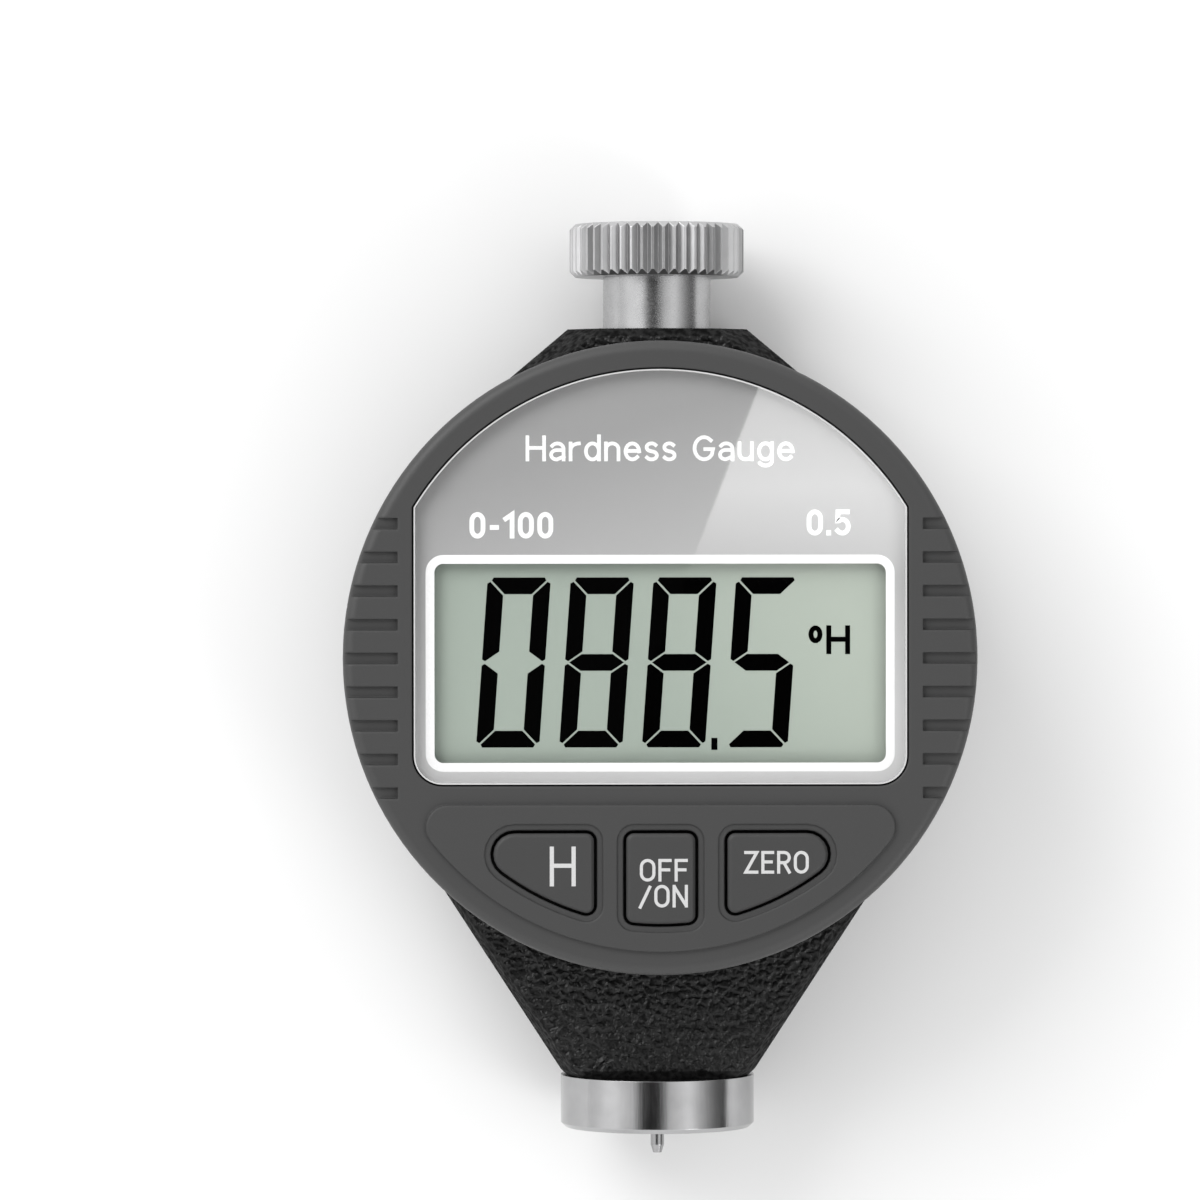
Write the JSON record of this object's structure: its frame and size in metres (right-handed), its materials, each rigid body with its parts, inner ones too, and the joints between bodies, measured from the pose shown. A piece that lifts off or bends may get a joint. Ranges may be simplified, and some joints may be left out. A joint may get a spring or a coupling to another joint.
{
  "type": "durometer",
  "caption": "Hand-held digital hardness gauge: round display housing with keys on a cast body, a sprung indenter in a steel presser foot and a knurled knob on a stem.",
  "frame": {"origin": "middle of the flat back, under the centre of the round housing", "axes": "+X across the face, +Y along the measuring axis from the presser foot to the knob, +Z out of the display; the gauge lies on its back"},
  "size_m": [0.0576, 0.0865, 0.0269],
  "materials": {
    "black_casting": "matte",
    "grey_moulding": "matte",
    "clear_lens": "gloss",
    "silver_print": "satin",
    "display_glass": "gloss",
    "black_moulding": "matte",
    "elastomer": "matte",
    "green_board": "satin",
    "turned_steel": "satin",
    "turned_aluminium": "satin",
    "brass": "satin",
    "plated_sheet": "satin",
    "black_rubber": "matte"
  },
  "bodies": {
    "gauge": {"rear_body": "black_casting", "front_housing": "grey_moulding", "display_lens": "clear_lens", "display_mask": "silver_print", "lcd_panel": "display_glass", "lcd_frame": "black_moulding", "zebra_strips": "elastomer", "circuit_board": "green_board", "controller_chip": "black_moulding", "hold_dome": "plated_sheet", "power_dome": "plated_sheet", "zero_dome": "plated_sheet", "presser_foot": "turned_steel", "lower_bush": "brass", "upper_bush": "brass", "measuring_spring": "turned_steel", "spring_adjuster": "brass", "stem": "turned_aluminium", "battery_cell": "plated_sheet", "battery_holder": "black_moulding", "positive_contact": "plated_sheet", "negative_contact": "plated_sheet", "housing_screws": "turned_steel", "board_screws": "turned_steel"},
    "plunger": {"spindle": "turned_steel", "indenter": "turned_steel", "stop_ring": "turned_steel", "slider_carrier": "brass", "slider_board": "green_board", "clamp_screw": "turned_steel", "guide_pin": "turned_steel"},
    "hold_button": {"hold_key": "grey_moulding"},
    "power_button": {"power_key": "grey_moulding"},
    "zero_button": {"zero_key": "grey_moulding"},
    "lid": {"battery_lid": "black_moulding", "lid_seal": "black_rubber"},
    "knob": {"thumb_knob": "turned_aluminium"}
  },
  "joints": [
    {"name": "plunger_slide", "type": "slide", "parent": "gauge", "child": "plunger", "axis": [0, 1, 0], "range_m": [0, 0.0025], "stiffness_N_per_m": 3000, "springref_m": -0.00018, "deforming": ["measuring_spring"]},
    {"name": "hold_press", "type": "slide", "parent": "gauge", "child": "hold_button", "axis": [0, 0, -1], "range_m": [0, 0.0005], "stiffness_N_per_m": 2000, "springref_m": -0.0002, "deforming": ["hold_dome"]},
    {"name": "power_press", "type": "slide", "parent": "gauge", "child": "power_button", "axis": [0, 0, -1], "range_m": [0, 0.0005], "stiffness_N_per_m": 2000, "springref_m": -0.0002, "deforming": ["power_dome"]},
    {"name": "zero_press", "type": "slide", "parent": "gauge", "child": "zero_button", "axis": [0, 0, -1], "range_m": [0, 0.0005], "stiffness_N_per_m": 2000, "springref_m": -0.0002, "deforming": ["zero_dome"]},
    {"name": "lid_turn", "type": "hinge", "parent": "gauge", "child": "lid", "pos_m": [0.0139, 0.0015, 0], "axis": [0, 0, -1], "range_deg": [0, 90]},
    {"name": "knob_turn", "type": "hinge", "parent": "gauge", "child": "knob", "pos_m": [0, 0.0351, 0.0092], "axis": [0, 1, 0], "continuous": true}
  ]
}
